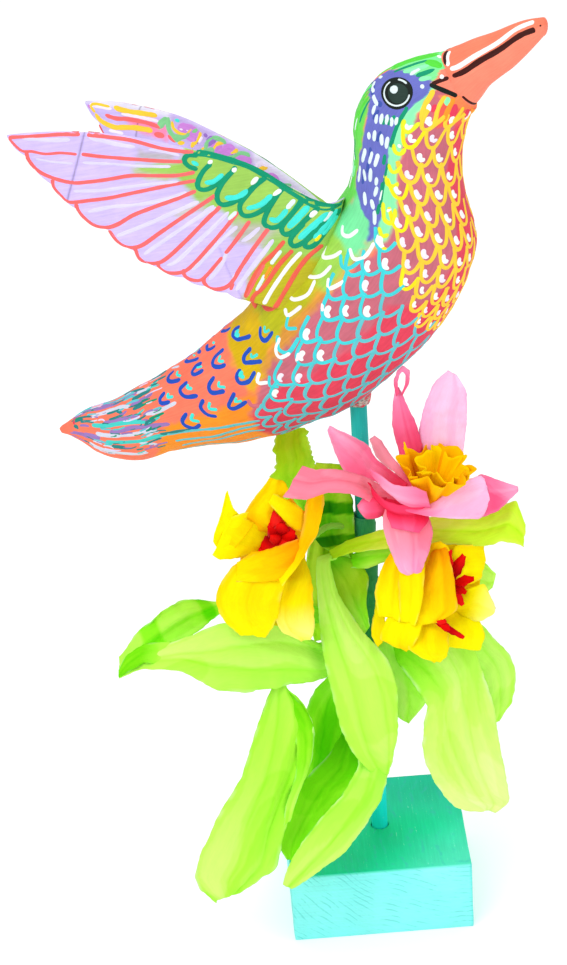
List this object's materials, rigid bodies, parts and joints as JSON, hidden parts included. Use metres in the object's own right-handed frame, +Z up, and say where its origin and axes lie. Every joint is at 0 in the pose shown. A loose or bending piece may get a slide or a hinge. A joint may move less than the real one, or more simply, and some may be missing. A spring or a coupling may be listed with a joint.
{
  "type": "papier-mache bird figure on a stand",
  "caption": "Hand-painted papier-mache hummingbird with raised wings on a dowel and wooden block, with crepe-paper flowers and leaves tied to the post.",
  "frame": {"origin": "on the underside of the base block, on the axis of the post", "axes": "+Z up along the post; +X along the front edge of the block, towards the beak's side; the front of the block faces -Y"},
  "size_m": [0.2377, 0.1762, 0.466],
  "materials": {
    "painted_block": "brushed acrylic paint, matt, over planed softwood",
    "painted_post": "brushed acrylic paint, satin, over a birch dowel",
    "floral_tape": "waxed crepe tape, matt",
    "newspaper": "crumpled newspaper, matt",
    "painted_body": "many-coloured acrylic brush strokes over pasted paper, satin",
    "painted_beak": "acrylic paint over pasted paper, satin",
    "painted_wing": "acrylic brush strokes over pasted paper, satin",
    "green_crepe": "crepe paper, matt",
    "yellow_crepe": "crepe paper, matt",
    "pink_crepe": "crepe paper, matt",
    "orange_crepe": "crepe paper, matt",
    "red_crepe": "crepe paper, matt"
  },
  "bodies": {
    "base": {"base_block": "painted_block"},
    "post": {"post_dowel": "painted_post"},
    "figure": {"beak": "painted_beak", "body_skin": "painted_body", "leaf_centre": "green_crepe", "leaf_hanging": "green_crepe", "leaf_left_back": "green_crepe", "leaf_left_front": "green_crepe", "leaf_long_right": "green_crepe", "leaf_lower_back": "green_crepe", "leaf_lower_left": "green_crepe", "leaf_lower_middle": "green_crepe", "leaf_right_back": "green_crepe", "leaf_right_front": "green_crepe", "leaf_small_right": "green_crepe", "leaf_upright": "green_crepe", "leaf_wrapped": "green_crepe", "left_flower_centre": "red_crepe", "left_flower_petal_1": "yellow_crepe", "left_flower_petal_2": "yellow_crepe", "left_flower_petal_3": "yellow_crepe", "left_flower_petal_4": "yellow_crepe", "left_flower_petal_5": "yellow_crepe", "left_flower_petal_6": "yellow_crepe", "left_flower_petal_7": "yellow_crepe", "left_flower_stem": "floral_tape", "left_wing": "painted_wing", "paper_core": "newspaper", "pink_flower_centre": "orange_crepe", "pink_flower_petal_1": "pink_crepe", "pink_flower_petal_2": "pink_crepe", "pink_flower_petal_3": "pink_crepe", "pink_flower_petal_4": "pink_crepe", "pink_flower_petal_5": "pink_crepe", "pink_flower_petal_6": "pink_crepe", "pink_flower_petal_7": "pink_crepe", "pink_flower_petal_8": "pink_crepe", "pink_flower_stem": "floral_tape", "right_flower_centre": "red_crepe", "right_flower_petal_1": "yellow_crepe", "right_flower_petal_2": "yellow_crepe", "right_flower_petal_3": "yellow_crepe", "right_flower_petal_4": "yellow_crepe", "right_flower_petal_5": "yellow_crepe", "right_flower_petal_6": "yellow_crepe", "right_flower_petal_7": "yellow_crepe", "right_flower_stem": "floral_tape", "right_wing": "painted_wing", "stem_wrap": "floral_tape"}
  },
  "joints": [
    {"name": "post_lift", "type": "slide", "parent": "base", "child": "post", "axis": [0, 0, 1], "range_m": [0, 0.0245]},
    {"name": "post_turn", "type": "hinge", "parent": "post", "child": "figure", "pos_m": [0, 0, 0.2], "axis": [0, 0, 1], "continuous": true}
  ]
}
